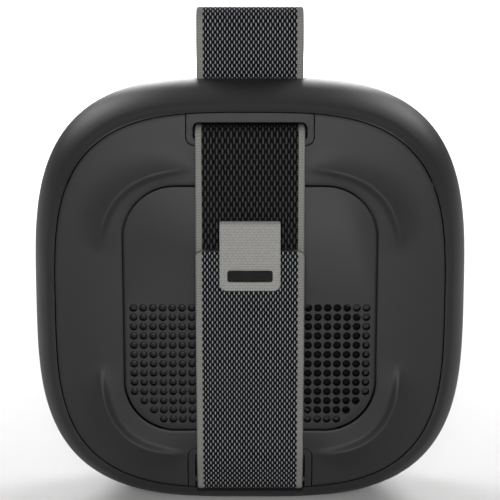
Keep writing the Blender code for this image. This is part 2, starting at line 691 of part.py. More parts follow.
def add_charge_port():
    shell = add("charge_port", port_tube(4.5 * MM, 1.6 * MM, -48.6 * MM, -41.0 * MM), STEEL, 0.3, 1.0)
    cavity = helper("port_cavity", port_tube(4.15 * MM, 1.25 * MM, -50 * MM, -42 * MM))
    low = (-47.5 * MM, PORT_Y - 0.35 * MM, PORT_Z - 3.3 * MM)
    high = (-40.0 * MM, PORT_Y + 0.35 * MM, PORT_Z + 3.3 * MM)
    combine(cavity, helper("port_tongue", box(low, high)))
    combine(shell, cavity)
    outer, inner = (5.8 * MM, 2.8 * MM), (4.8 * MM, 1.9 * MM)
    outside, inside = -45.2 * MM, -44.2 * MM
    seal = [port_ring(*outer, outside), port_ring(*outer, inside)]
    seal += [port_ring(*inner, inside), port_ring(*inner, outside)]
    add("charge_port_seal", loft(seal, closed=True), RUBBER, 0.8)


# ---------------------------------------------------------------- buttons


def shoulder_frame(x):
    """The point of the top front shoulder at x, and the directions outward, along it and to the back."""
    inset = shoulder_inset(BUTTON_Y)
    half_x = BODY_WIDTH / 2 - inset
    half_z = BODY_TOP - inset
    height = half_z * (1 - abs(x / half_x) ** OUTLINE_EXPONENT) ** (1 / OUTLINE_EXPONENT)
    fall = (abs(x) / half_x) ** (OUTLINE_EXPONENT - 1) * (half_z / height) ** (OUTLINE_EXPONENT - 1)
    along = Vector((1, 0, -copysign(fall * half_z / half_x, x))).normalized()
    step = 0.1 * MM
    rise = (shoulder_inset(BUTTON_Y - step) - shoulder_inset(BUTTON_Y + step)) / (2 * step)
    outward = along.cross(Vector((0, 1, rise))).normalized()
    return Vector((x, BUTTON_Y, height)), outward, along, outward.cross(along)


def button_shape(index, grow, low, high):
    """A pill-shaped key standing square to the shoulder, from low to high about the surface."""
    place, outward, along, backward = shoulder_frame((index - 2) * BUTTON_SPACING)
    rings = []
    for height in (low, high):
        outline = pill(BUTTON_HALF_LENGTH + grow, BUTTON_HALF_WIDTH + grow, 5)
        rings.append([place + outward * height + along * x + backward * across for x, across in outline])
    return loft(rings)


def shoulder_peg(x, radius, low, high):
    """A round peg square to the shoulder at x."""
    place, outward, along, backward = shoulder_frame(x)
    rings = []
    for height in (low, high):
        centre = place + outward * height
        rings.append([centre + radius * (cos(a) * along + sin(a) * backward) for a in angles(12)])
    return loft(rings)


def add_buttons():
    for index, name in enumerate(BUTTON_NAMES):
        place = shoulder_frame((index - 2) * BUTTON_SPACING)[0]
        add(name, button_shape(index, 0.0, -BUTTON_DEPTH, BUTTON_RISE), DARK_PLASTIC, 0.5, origin=place)
    light = shoulder_peg(STATUS_LIGHT_X, STATUS_LIGHT_RADIUS, -2.5 * MM, 0.1 * MM)
    add("status_light", light, (0.6, 0.6, 0.6), 0.2)
    add_button_flex()


def add_button_flex():
    """The flexible circuit under the keys. It follows the curve of the shoulder."""
    rings = []
    for step in range(-7, 8):
        place, outward, _, backward = shoulder_frame(step * 4.0 * MM)
        corners = in_mm((2.6, -3.55), (0.6, -3.55), (0.6, -3.8), (2.6, -3.8))
        rings.append([place + backward * across + outward * depth for across, depth in corners])
    add("button_flex", loft(rings), (0.45, 0.28, 0.08), 0.5)


def main():
    clear_scene()
    add_frame()
    pillow = add_pillow()
    add_front_housing()
    add_rear_cover()
    add_rear_panel()
    add_strap_guides(pillow)
    add_strap_channel()
    add_upper_strap()
    add_closure_strap()
    add_carry_loop()
    add_front_grille()
    add_front_baffle()
    add_seals()
    add_driver()
    add_passive_radiator("front", FRONT_RADIATOR, 5.2 * MM, 15.2 * MM, -9.1 * MM)
    add_passive_radiator("rear", REAR_RADIATOR, 6.4 * MM, 12.4 * MM, 9.7 * MM)
    add_power()
    add_boards()
    add_charge_port()
    add_buttons()


main()
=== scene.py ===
"""The look of the shower speaker: fine shells, woven straps, perforations, materials, light and camera.

Shapes are drawn in metres about the middle of the body, as the CAD is, and the speaker_home matrix stands them
where the frame says. The photographed back faces +Y.
"""

import json
from math import asin, copysign, cos, floor, pi, radians, sin, sqrt, tau

import bmesh
import bpy
from mathutils import Matrix, Vector


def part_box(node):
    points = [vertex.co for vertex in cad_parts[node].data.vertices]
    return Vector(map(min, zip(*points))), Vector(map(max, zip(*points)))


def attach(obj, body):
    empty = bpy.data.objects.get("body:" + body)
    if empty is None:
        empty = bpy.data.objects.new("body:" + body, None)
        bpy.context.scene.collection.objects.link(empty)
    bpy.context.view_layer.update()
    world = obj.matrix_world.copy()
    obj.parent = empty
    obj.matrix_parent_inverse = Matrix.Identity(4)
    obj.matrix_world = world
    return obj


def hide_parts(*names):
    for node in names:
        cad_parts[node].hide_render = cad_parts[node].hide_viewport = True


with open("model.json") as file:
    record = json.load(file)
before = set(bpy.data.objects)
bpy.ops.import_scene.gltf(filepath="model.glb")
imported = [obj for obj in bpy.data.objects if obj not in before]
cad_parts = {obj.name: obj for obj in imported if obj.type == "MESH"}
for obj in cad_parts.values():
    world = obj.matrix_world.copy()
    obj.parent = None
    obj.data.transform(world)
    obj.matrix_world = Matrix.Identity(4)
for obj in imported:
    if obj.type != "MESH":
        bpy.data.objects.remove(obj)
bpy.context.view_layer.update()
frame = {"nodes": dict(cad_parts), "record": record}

MM = 0.001
GAP = 0.3 * MM

# The body's form, which the CAD shares.
HOUSING_LOW, HOUSING_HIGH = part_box("front_housing")
BODY_WIDTH = HOUSING_HIGH[0] - HOUSING_LOW[0]
BODY_TOP = 49.3 * MM
BODY_BOTTOM = 48.35 * MM
BODY_DEPTH = 31.0 * MM
BASE_Z = -47.6 * MM
OUTLINE_EXPONENT = 3.3
SHOULDER_REACH = 10.5 * MM
SHOULDER_EXPONENT = 2.2
SEAM_Y = 14.0 * MM
LIP_Y = -15.1 * MM
CROWN_REACH = 15.0 * MM
CROWN_EXPONENT = 1.8
PANEL_HALF = 27.87 * MM
PANEL_CENTRE_Z = -0.42 * MM
PANEL_CORNER = 11.3 * MM
PANEL_Y = 15.4 * MM
PANEL_THICKNESS = 1.5 * MM
FLOOR_Y = 12.8 * MM
SHELL_SPECULAR = 0.14
HORIZON_STRENGTH = 0.01
ZENITH_STRENGTH = 0.1
RIDGE_HEIGHT = 1.7 * MM
PANEL_GAP = 0.42 * MM
HOLE_PITCH = 2.16 * MM
HOLE_RADIUS = 0.82 * MM
GUIDE_HALF_WIDTH = 13.95 * MM
GUIDE_CORNER = 1.8 * MM
TOP_GUIDE_LOW = 36.65 * MM
BOTTOM_GUIDE_HIGH = -33.05 * MM
SLOT_HALF_WIDTH = 12.45 * MM
STRAP_WIDTH = 24.0 * MM
STRAP_THICKNESS = 1.3 * MM
LOOP_Y = -3.5 * MM
TOP_PIN = Vector((-3.9, 41.0)) * MM
BOTTOM_PIN = Vector((11.9, -41.3)) * MM
SELVEDGE = 1.41 * MM
SELVEDGE_PITCH = 0.62
# Thread lanes of the two weaves: lane width and repeat in millimetres, then the depth of the relief.
PLAIN_WEAVE = (0.63, 2.35, 0.14 * MM)
PATTERN_WEAVE = (0.535, 1.5, 0.12 * MM)
TAB_HALF_WIDTH = 6.65 * MM
TAB_LOW, TAB_HIGH = 5.2 * MM, 20.6 * MM
TAB_THICKNESS = 0.9 * MM
TAB_OUTER_Y, TAB_INNER_Y = 19.85 * MM, 18.25 * MM
TAB_CORNER = 1.3 * MM
TAB_RIB = 0.6 * MM
TAB_RELIEF = 0.05 * MM
LABEL_HALF = Vector((4.95, 1.25)) * MM
LABEL_Z = 8.5 * MM
GRILLE_INSET = 8.3 * MM
GRILLE_THICKNESS = 1.0 * MM
FRONT_HOLE_RADIUS = 0.62 * MM
FRONT_PITCH = 2.2 * MM

# The CAD's housing starts at the seam, which places the body's middle in the frame's depth.
HOME = Vector((0, HOUSING_HIGH[1] - SEAM_Y, -BASE_Z))
speaker_home = Matrix.Translation(HOME)

BUTTONS = ("button_power", "button_volume_down", "button_play", "button_volume_up", "button_pairing")
BUTTON_Y = -11.0 * MM
BUTTON_SPACING = 12.0 * MM
KEY_HALF_LENGTH = 4.2 * MM
KEY_HALF_WIDTH = 2.0 * MM
STATUS_LIGHT_X = 31.5 * MM
STATUS_LIGHT_RADIUS = 1.0 * MM


# ---------------------------------------------------------------- outlines


def shoulder_inset(y):
    """How far the outline has drawn in at depth y."""
    share = 1 - abs(2 * y / BODY_DEPTH) ** SHOULDER_EXPONENT
    return SHOULDER_REACH * (1 - max(share, 0) ** (1 / SHOULDER_EXPONENT))


def crown(inset):
    """Depth of the outer surface where the outline has drawn in by inset. Past the seam it rises more gently."""
    if inset <= SEAM_INSET:
        share = max(1 - inset / SHOULDER_REACH, 0)
        return BODY_DEPTH / 2 * (1 - share**SHOULDER_EXPONENT) ** (1 / SHOULDER_EXPONENT)
    share = max(1 - (inset - SEAM_INSET) / CROWN_REACH, 0)
    return SEAM_Y + (BODY_DEPTH / 2 - SEAM_Y) * (1 - share**CROWN_EXPONENT)


SEAM_INSET = shoulder_inset(SEAM_Y)


def even_angles(count):
    return [tau * index / count for index in range(count)]


def squircle(inset, count=256):
    """The body's outline drawn in by inset, as (x, z) points at even angles."""
    half_x = BODY_WIDTH / 2 - inset
    points = []
    for angle in even_angles(count):
        half_z = (BODY_TOP if sin(angle) > 0 else BODY_BOTTOM) - inset
        across = abs(cos(angle) / half_x) ** OUTLINE_EXPONENT
        upward = abs(sin(angle) / half_z) ** OUTLINE_EXPONENT
        radius = (across + upward) ** (-1 / OUTLINE_EXPONENT)
        points.append((radius * cos(angle), radius * sin(angle)))
    return points


def rounded_rectangle(half_x, half_z, corner, count=256):
    """A rounded rectangle as (x, z) points at the same even angles as the squircle."""
    points = []
    for angle in even_angles(count):
        along = Vector((abs(cos(angle)), abs(sin(angle))))
        reach = min(half_x / max(along.x, 1e-9), half_z / max(along.y, 1e-9))
        hit = along * reach
        centre = Vector((half_x - corner, half_z - corner))
        if hit.x > centre.x and hit.y > centre.y:
            middle = along.dot(centre)
            reach = middle + sqrt(max(middle**2 - centre.length_squared + corner**2, 0))
        points.append((reach * cos(angle), reach * sin(angle)))
    return points


def guide_outline(half_x, low, high, corner, steps=8):
    """A rounded rectangle from low to high, drawn corner by corner."""
    points = []
    for side, edge, start in ((1, high, 0), (-1, high, 90), (-1, low, 180), (1, low, 270)):
        centre_x = side * (half_x - corner)
        centre_z = edge - corner if edge == high else edge + corner
        for step in range(steps + 1):
            angle = radians(start + 90 * step / steps)
            points.append((centre_x + corner * cos(angle), centre_z + corner * sin(angle)))
    return points


def pill(half_length, half_width, steps=12):
    """A round-ended slot outline, long in x."""
    points = []
    for side in (1, -1):
        for step in range(steps + 1):
            angle = pi * step / steps - pi / 2
            reach = half_length - half_width + half_width * cos(angle)
            points.append((side * reach, side * half_width * sin(angle)))
    return points


def shift(outline, x, z):
    return [(px + x, pz + z) for px, pz in outline]


def mix(first, second, share):
    return [((1 - share) * a[0] + share * b[0], (1 - share) * a[1] + share * b[1]) for a, b in zip(first, second)]


def ring(outline, y, lowest=None):
    """An (x, z) outline stood up at depth y. A lowest z flattens the base."""
    return [Vector((x, y, z if lowest is None else max(z, lowest))) for x, z in outline]


def smoothstep(low, high, value):
    share = min(max((value - low) / (high - low), 0), 1)
    return share * share * (3 - 2 * share)


# ---------------------------------------------------------------- meshes


def loft(rings, closed=False):
    """A solid through rings of points: a closed tube of rings, or one that ends in two flat caps."""
    shape = bmesh.new()
    rows = [[shape.verts.new(point) for point in points] for points in rings]
    pairs = list(zip(rows, rows[1:]))
    if closed:
        pairs.append((rows[-1], rows[0]))
    else:
        shape.faces.new(rows[0])
        shape.faces.new(reversed(rows[-1]))
    for low, high in pairs:
        for index in range(len(low)):
            after = (index + 1) % len(low)
            shape.faces.new((low[index], high[index], high[after], low[after]))
    bmesh.ops.recalc_face_normals(shape, faces=shape.faces)
    return shape


def prism(outline, y_low, y_high):
    return loft([ring(outline, y_low), ring(outline, y_high)])


def make(name, shape, sharp_angle=30):
    """A mesh object in the frame's place, from a shape drawn about the body's middle."""
    shape.transform(speaker_home)
    mesh = bpy.data.meshes.new(name)
    shape.to_mesh(mesh)
    shape.free()
    obj = bpy.data.objects.new(name, mesh)
    bpy.context.scene.collection.objects.link(obj)
    shade(obj, sharp_angle)
    return obj


def shade(obj, sharp_angle):
    obj.data.shade_smooth()
    obj.data.set_sharp_from_angle(angle=radians(sharp_angle))


def apply_modifiers(obj):
    """Turns the object's modifiers into plain mesh."""
    graph = bpy.context.evaluated_depsgraph_get()
    mesh = bpy.data.meshes.new_from_object(obj.evaluated_get(graph))
    old = obj.data
    obj.modifiers.clear()
    obj.data = mesh
    bpy.data.meshes.remove(old)


def carve(obj, shapes, operation="DIFFERENCE", solver="EXACT"):
    """Cuts shapes, drawn about the body's middle, out of obj, one after the other."""
    for index, shape in enumerate(shapes):
        cutter = make(f"{obj.name}_cutter_{index}", shape)
        modifier = obj.modifiers.new("carve", "BOOLEAN")
        modifier.operation = operation
        modifier.solver = solver
        modifier.object = cutter
        bpy.context.view_layer.update()
        apply_modifiers(obj)
        bpy.data.objects.remove(cutter, do_unlink=True)


def soften(obj, width, segments=3, angle=35):
    """Rounds the sharp edges over by width."""
    modifier = obj.modifiers.new("soften", "BEVEL")
    modifier.width = width
    modifier.segments = segments
    modifier.limit_method = "ANGLE"
    modifier.angle_limit = radians(angle)
    modifier.harden_normals = False
    bpy.context.view_layer.update()
    apply_modifiers(obj)
    shade(obj, 40)


def stand_for(obj, body, slot, material, *nodes):
    """obj rides on body, takes material as its finish, and replaces the nodes. The slot argument is not used."""
    obj.data.materials.clear()
    obj.data.materials.append(material)
    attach(obj, body)
    if nodes:
        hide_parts(*nodes)


# ---------------------------------------------------------------- body


def shell_profile():
    """(inset, y) of the shell's outer face from the front lip to the rear seam, with a soft crease by the seam."""
    profile = []
    front, rear = asin(2 * LIP_Y / BODY_DEPTH), asin(2 * SEAM_Y / BODY_DEPTH)
    steps = 64
    for step in range(steps + 1):
        y = BODY_DEPTH / 2 * sin(rear - (rear - front) * step / steps)
        inset = shoulder_inset(y)
        before = (shoulder_inset(SEAM_Y) - inset) / MM
        crease = smoothstep(0.0, 0.5, before) * (1 - smoothstep(0.7, 2.0, before)) if y > 0 else 0.0
        profile.append((inset + 0.25 * MM * crease, y - 0.25 * MM * crease))
    return profile


def build_shell(material):
    seam_inset = shoulder_inset(SEAM_Y)
    outer = shell_profile()
    inner = in_mm((8.02, -14.9), (8.02, -11.2), (5.8, -9.5), (4.4, -7.8), (3.4, -6.0), (2.5, -2.5), (2.5, 2.5),
                  (3.4, 6.5), (4.9, 9.6))
    inner += [(seam_inset, 10.6 * MM), (seam_inset, SEAM_Y - 0.25 * MM)]
    rings = [ring(squircle(inset), y, BASE_Z) for inset, y in outer]
    rings += [ring(squircle(inset), y) for inset, y in inner]
    shell = make("housing_shell", loft(rings, closed=True), 40)
    cuts = [top_slot_shape(), strap_notch_shape()]
    cuts.append(loft([port_ring(4.8 * MM, 1.95 * MM, x * MM) for x in (-52, -44)]))
    cuts += [key_well(index) for index in range(len(BUTTONS))]
    well = circle(STATUS_LIGHT_RADIUS + 0.15 * MM)
    cuts.append(loft(shoulder_rings(STATUS_LIGHT_X, ((well, -6.0 * MM), (well, 3.0 * MM)))))
    carve(shell, cuts)
    soften(shell, 0.22 * MM, 2, 50)
    stand_for(shell, "housing", "shell", material, "front_housing")


def top_slot_shape():
    """The mouth that the carry loop stands in, with rounded ends."""
    outline = guide_outline(SLOT_HALF_WIDTH, -4.6 * MM, 4.6 * MM, 1.2 * MM)
    rings = []
    for height in (40 * MM, 52 * MM):
        rings.append([Vector((x, LOOP_Y + across, height)) for x, across in outline])
    return loft(rings)


def strap_notch_shape():
    return prism(guide_outline(12.06 * MM, -44.1 * MM, -38 * MM, 0.2 * MM), 8 * MM, 16 * MM)


def port_ring(half_z, half_y, x, middle=(-3.0, -8.0)):
    """A round-ended outline, long in Z, stood up across X for the port in the side wall."""
    return [Vector((x, middle[0] * MM + across, middle[1] * MM + along)) for along, across in pill(half_z, half_y)]


def corner_ridge(x, z):
    """How far the cover stands up round its four corners: a rise, a crest, and a fall towards the panel."""
    half_x, half_z, power = (34.0, 32.0, 3.7) if z > 0 else (33.8, 34.7, 4.2)
    reach = (abs(x / MM / half_x) ** power + abs(z / MM / half_z) ** power) ** (1 / power)
    inside = (1 - reach) * 33.0
    corner = smoothstep(0.66, 0.95, abs(2 * x * z) / (x * x + z * z))
    if inside < 0:
        return corner * RIDGE_HEIGHT * max(1 + inside / 6.0, 0) ** 2
    step = 1 - smoothstep(0.0, 1.5, inside)
    ramp = max(1 - inside / 7.5, 0) ** 2
    return corner * RIDGE_HEIGHT * (0.45 * step + 0.55 * ramp)


def panel_outline(grow):
    """The rear panel's rounded square, grown on every side."""
    side = PANEL_HALF + grow
    return shift(rounded_rectangle(side, side, PANEL_CORNER + grow), 0, PANEL_CENTRE_Z)


def build_cover(material):
    edge_inset = shoulder_inset(SEAM_Y) + 0.26 * MM
    hole_inset = BODY_WIDTH / 2 - PANEL_HALF - PANEL_GAP
    edge = squircle(edge_inset)
    hole = panel_outline(PANEL_GAP)
    steps = 44
    rings = [ring(hole, FLOOR_Y - 1.2 * MM), ring(edge, 11.0 * MM), ring(edge, crown(edge_inset) - 0.22 * MM)]
    for step in range(steps + 1):
        share = step / steps
        inset = edge_inset + share * (hole_inset - edge_inset)
        outline = mix(edge, hole, share)
        points = []
        for x, z in outline:
            points.append(Vector((x, crown(inset) + corner_ridge(x, z) - lip_drop(share), z)))
        rings.append(points)
    rings.append(ring(hole, FLOOR_Y + 0.2 * MM))
    cover = make("rear_cover_shell", loft(rings), 50)
    half = GUIDE_HALF_WIDTH + 0.22 * MM
    corner = GUIDE_CORNER + 0.22 * MM
    top_notch = guide_outline(half, TOP_GUIDE_LOW - 0.22 * MM, 60 * MM, corner)
    bottom_notch = guide_outline(half, -60 * MM, BOTTOM_GUIDE_HIGH + 0.22 * MM, corner)
    window = shift(rounded_rectangle(6.4 * MM, 12.4 * MM, 6.0 * MM), -18.8 * MM, -13.0 * MM)
    carve(cover, [prism(top_notch, 5 * MM, 20 * MM), prism(bottom_notch, 5 * MM, 20 * MM),
                  prism(window, 9 * MM, 16 * MM)])
    shade(cover, 50)
    stand_for(cover, "housing", "shell", material, "rear_cover")
    # Painted shade: the deep walls of the gap round the panel get a near-black colour in place of their shade.
    paint_recess_shade(cover, PANEL_Y - 0.6 * MM, 28.4 * MM)


def paint_recess_shade(obj, depth, half_width=None):
    """Paints shade: gives the faces deeper than depth, and no further out than half_width, a matt near-black colour
    that stands in for the shade inside gaps and holes.
    """
    # Painted shade: the near-black second material takes the place of the shade on the deep faces.
    obj.data.materials.append(bpy.data.materials["painted_recess_shade"])
    floor_y = HOME.y + depth
    for face in obj.data.polygons:
        within = half_width is None or abs(face.center.x) < half_width and abs(face.center.z - HOME.z) < half_width
        if within and face.center.y < floor_y and face.normal.y < 0.5:
            face.material_index = 1


def lip_drop(share):
    """Rounds the cover's two edges over, at the seam and at the panel."""
    outer = max(1 - share / 0.02, 0) ** 2
    inner = max(1 - (1 - share) / 0.02, 0) ** 2
    return 0.12 * MM * max(outer, inner)


def hole_places():
    """(x, z) of each perforation on the +X side: thirteen rows that follow the panel's lower corner."""
    places = []
    for row in range(13):
        outermost = 12 if row < 10 else 21 - row
        for column in range(5, outermost + 1):
            places.append((column * HOLE_PITCH, -row * HOLE_PITCH))
    return places


def perforation(x, z, through):
    """A hole with a broken edge. A blind one ends in a shallow dome."""
    top = PANEL_Y + 0.5 * MM
    profile = [(HOLE_RADIUS + 0.09 * MM, top), (HOLE_RADIUS + 0.09 * MM, PANEL_Y - 0.01 * MM),
               (HOLE_RADIUS, PANEL_Y - 0.12 * MM)]
    if through:
        profile.append((HOLE_RADIUS, PANEL_Y - 3 * MM))
    else:
        depth = PANEL_Y - 1.25 * MM
        profile += [(HOLE_RADIUS, depth), (0.62 * HOLE_RADIUS, depth + 0.16 * MM),
                    (0.28 * HOLE_RADIUS, depth + 0.3 * MM)]
    rings = []
    for radius, y in profile:
        rings.append(ring([(x + radius * cos(a), z + radius * sin(a)) for a in even_angles(20)], y))
    return rings


def join_lofts(ring_sets):
    """One mesh of many separate lofted plugs."""
    whole = bmesh.new()
    for rings in ring_sets:
        plug = loft(rings)
        mesh = bpy.data.meshes.new("plug")
        plug.to_mesh(mesh)
        plug.free()
        whole.from_mesh(mesh)
        bpy.data.meshes.remove(mesh)
    return whole


def build_panel(material):
    rings = []
    for trim, drop in ((0.0, PANEL_THICKNESS), (0.0, 0.2 * MM), (0.06 * MM, 0.06 * MM), (0.2 * MM, 0.0)):
        rings.append(ring(panel_outline(-trim), PANEL_Y - drop))
    panel = make("rear_grille_panel", loft(rings), 40)
    plugs = []
    for x, z in hole_places():
        plugs.append(perforation(-x, z, True))
        plugs.append(perforation(x, z, through=(x > 11.5 * HOLE_PITCH and z > -0.5 * HOLE_PITCH)))
    carve(panel, [join_lofts(plugs)], solver="MANIFOLD")
    shade(panel, 40)
    stand_for(panel, "housing", "shell", material, "rear_panel")
    # Painted shade: the walls of the perforations get a near-black colour in place of their shade.
    paint_recess_shade(panel, PANEL_Y - 0.35 * MM)


def pillow_shape():
    """The back of the body's outer form, which flush inserts are trimmed to."""
    shoulder = [SEAM_INSET * step / 12 for step in range(12)]
    back = [SEAM_INSET + CROWN_REACH * step / 30 for step in range(31)]
    return loft([ring(squircle(0.0), -5 * MM)] + [ring(squircle(inset), crown(inset)) for inset in shoulder + back])


def build_guides(material):
    reach = shoulder_inset(SEAM_Y) + 0.26 * MM
    top = make("upper_strap_guide", prism(guide_outline(GUIDE_HALF_WIDTH, TOP_GUIDE_LOW, 50 * MM, GUIDE_CORNER),
                                          9.5 * MM, 20 * MM))
    carve(top, [pillow_shape(), prism(squircle(reach), 5 * MM, 22 * MM)], "INTERSECT")
    carve(top, [prism(guide_outline(SLOT_HALF_WIDTH + 0.1 * MM, 37.5 * MM, 41.6 * MM, 1.3 * MM), 5 * MM, 22 * MM)])
    soften(top, 0.22 * MM, 2, 50)
    stand_for(top, "housing", "inserts", material, "strap_guide_top")
    low = guide_outline(GUIDE_HALF_WIDTH, -50 * MM, BOTTOM_GUIDE_HIGH, GUIDE_CORNER)
    bottom = make("lower_strap_guide", prism(low, 8.2 * MM, 20 * MM))
    carve(bottom, [pillow_shape(), prism(squircle(reach), 5 * MM, 22 * MM)], "INTERSECT")
    recess = prism(guide_outline(SLOT_HALF_WIDTH, -52 * MM, -34.2 * MM, 0.8 * MM), 9.2 * MM, 22 * MM)
    carve(bottom, [recess])
    soften(bottom, 0.22 * MM, 2, 50)
    stand_for(bottom, "housing", "inserts", material, "strap_guide_bottom")


# ---------------------------------------------------------------- keys, port and grille


def shoulder_frame(x):
    """The point of the top front shoulder at x, with the directions outward, along the shoulder and to the back."""
    inset = shoulder_inset(BUTTON_Y)
    half_x = BODY_WIDTH / 2 - inset
    half_z = BODY_TOP - inset
    height = half_z * (1 - abs(x / half_x) ** OUTLINE_EXPONENT) ** (1 / OUTLINE_EXPONENT)
    fall = (abs(x) / half_x) ** (OUTLINE_EXPONENT - 1) * (half_z / height) ** (OUTLINE_EXPONENT - 1)
    along = Vector((1, 0, -copysign(fall * half_z / half_x, x))).normalized()
    step = 0.1 * MM
    rise = (shoulder_inset(BUTTON_Y - step) - shoulder_inset(BUTTON_Y + step)) / (2 * step)
    outward = along.cross(Vector((0, 1, rise))).normalized()
    return Vector((x, BUTTON_Y, height)), outward, along, outward.cross(along)


def shoulder_rings(x, outlines):
    """Outlines stood on the shoulder at x, as (points, height) pairs. Points are (along, backward)."""
    place, outward, along, backward = shoulder_frame(x)
    rings = []
    for outline, height in outlines:
        rings.append([place + outward * height + along * px + backward * py for px, py in outline])
    return rings


def key_outline(grow):
    return pill(KEY_HALF_LENGTH + grow, KEY_HALF_WIDTH + grow, 14)


def key_well(index):
    outline = key_outline(GAP)
    return loft(shoulder_rings((index - 2) * BUTTON_SPACING, ((outline, -7.0 * MM), (outline, 4.0 * MM))))


def circle(radius, count=32):
    return [(radius * cos(a), radius * sin(a)) for a in even_angles(count)]


def bar(half_length, half_width, turn=0.0, x=0.0, y=0.0):
    """A small rectangle, turned and moved, for the raised signs."""
    corners = ((-half_length, -half_width), (half_length, -half_width), (half_length, half_width),
               (-half_length, half_width))
    points = []
    for px, py in corners:
        points.append((x + px * cos(turn) - py * sin(turn), y + px * sin(turn) + py * cos(turn)))
    return points


def cross(reach, half_width):
    """A plus sign as one outline."""
    points = []
    for turn in (0, pi / 2, pi, -pi / 2):
        for px, py in ((half_width, half_width), (reach, half_width), (reach, -half_width)):
            points.append((px * cos(turn) + py * sin(turn), py * cos(turn) - px * sin(turn)))
    return points


def key_signs(name):
    """The raised marks on a key, as outlines in millimetres."""
    if name == "button_volume_down":
        return [bar(1.0, 0.2)]
    if name == "button_volume_up":
        return [cross(1.0, 0.2)]
    if name == "button_play":
        return [[(-0.75, -0.95), (1.0, 0.0), (-0.75, 0.95)]]
    if name == "button_power":
        return [bar(0.17, 0.5, 0.0, 0.0, 0.75)] + arc_bars(0.95, 125, 415)
    return [circle(0.35, 16)] + arc_bars(1.0, -50, 50) + arc_bars(1.0, 130, 230)


def arc_bars(radius, start, end):
    """One thick arc drawn as a closed outline."""
    turns = [radians(start + (end - start) * step / 20) for step in range(21)]
    outer = [((radius + 0.15) * cos(a), (radius + 0.15) * sin(a)) for a in turns]
    inner = [((radius - 0.15) * cos(a), (radius - 0.15) * sin(a)) for a in reversed(turns)]
    return [outer + inner]


def build_keys(material):
    for index, name in enumerate(BUTTONS):
        x = (index - 2) * BUTTON_SPACING
        profile = ((0.0, -2.6), (0.0, 0.12), (-0.08, 0.3), (-0.25, 0.41), (-0.55, 0.45), (-1.0, 0.4), (-1.6, 0.36))
        outlines = [(key_outline(grow * MM), height * MM) for grow, height in profile]
        key = make(name + "_key", loft(shoulder_rings(x, outlines)), 40)
        signs = []
        for outline in key_signs(name):
            points = [(px * MM, -py * MM) for px, py in outline]
            signs.append(shoulder_rings(x, ((points, 0.2 * MM), (points, 0.46 * MM))))
        carve(key, [join_lofts(signs)], "UNION")
        stand_for(key, name + "_key", "buttons", material, name)


# ---------------------------------------------------------------- webbing


def arc(centre, radius, start, end, steps=14):
    """Points (y, z) round a pin, with angles in degrees from +Y towards +Z."""
    turns = [radians(start + (end - start) * step / steps) for step in range(steps + 1)]
    return [(centre[0] + radius * cos(a), centre[1] + radius * sin(a)) for a in turns]


def in_mm(*pairs):
    return [(first * MM, second * MM) for first, second in pairs]


def upper_route():
    """The middle line of the upper strap, from the top slot down the back."""
    route = in_mm((-6.2, 43.2), (-6.0, 42.2)) + arc(TOP_PIN, 1.9 * MM, 180, 290)
    return route + in_mm((0, 39.7), (6, 39.9), (11, 40.1), (14.2, 40.3), (15.9, 39.8), (16.6, 38.6), (16.6, 37.0),
                         (16.5, 35), (16.5, 28), (16.45, 10), (16.45, -12))


def closure_route():
    """The middle line of the closure strap, from the bottom pin up the back to its folded end."""
    route = arc(BOTTOM_PIN, 1.65 * MM, -215, 0)
    return route + in_mm((14.5, -38.9), (15.5, -36.6), (16.2, -34), (16.4, -29), (16.6, -21), (17.5, -16.5),
                         (18.4, -12), (18.6, -6), (18.6, 13.9))


def loop_route():
    """The middle line of the carry loop, up from the slot, over and down again."""
    rise = in_mm((-0.5, 45.4), (-0.5, 47.5), (-0.2, 51), (0.05, 55))
    fall = [(2 * LOOP_Y - y, z) for y, z in reversed(rise)]
    return rise + arc((LOOP_Y, 60.6 * MM), 3.55 * MM, 0, 180, 24) + fall


def smooth_path(route, spacing, rounds=3):
    """The route with its corners eased, then cut into even steps. Its two ends stay where they are."""
    points = [Vector(point) for point in route]
    for _ in range(rounds):
        eased = [points[0]]
        for first, second in zip(points, points[1:]):
            eased += [first.lerp(second, 0.25), first.lerp(second, 0.75)]
        points = eased + [points[-1]]
    lengths = [0.0]
    for first, second in zip(points, points[1:]):
        lengths.append(lengths[-1] + (second - first).length)
    count = max(int(lengths[-1] / spacing), 2)
    even, piece = [], 0
    for step in range(count + 1):
        target = lengths[-1] * step / count
        while piece < len(points) - 2 and lengths[piece + 1] < target:
            piece += 1
        share = (target - lengths[piece]) / max(lengths[piece + 1] - lengths[piece], 1e-12)
        even.append(points[piece].lerp(points[piece + 1], min(share, 1)))
    return even, lengths[-1] / count


def thread_height(u, v, column, pitch):
    """The relief of the weave, 0 to 1, at u across and v along the strap, in millimetres."""
    edge = 12.0 - abs(u)
    if edge < SELVEDGE / MM:
        rib = 0.5 + 0.5 * cos(tau * (v / SELVEDGE_PITCH + 0.3 * edge))
        return 0.55 + 0.45 * rib * smoothstep(0.0, 0.3, edge) if edge > 0.05 else 0.5
    lane = u / column
    index = floor(lane)
    across = sin(pi * (lane - index))
    along = 0.5 + 0.5 * cos(tau * (v / pitch + 0.5 * (index % 2)))
    return across**0.8 * (0.15 + 0.85 * along**0.7)


def strap_face(step):
    """Places across one face of the strap, inside its rounded edges."""
    half = STRAP_WIDTH / 2 - 0.35 * MM
    count = int(2 * half / step)
    return [2 * half * index / count - half for index in range(count + 1)]


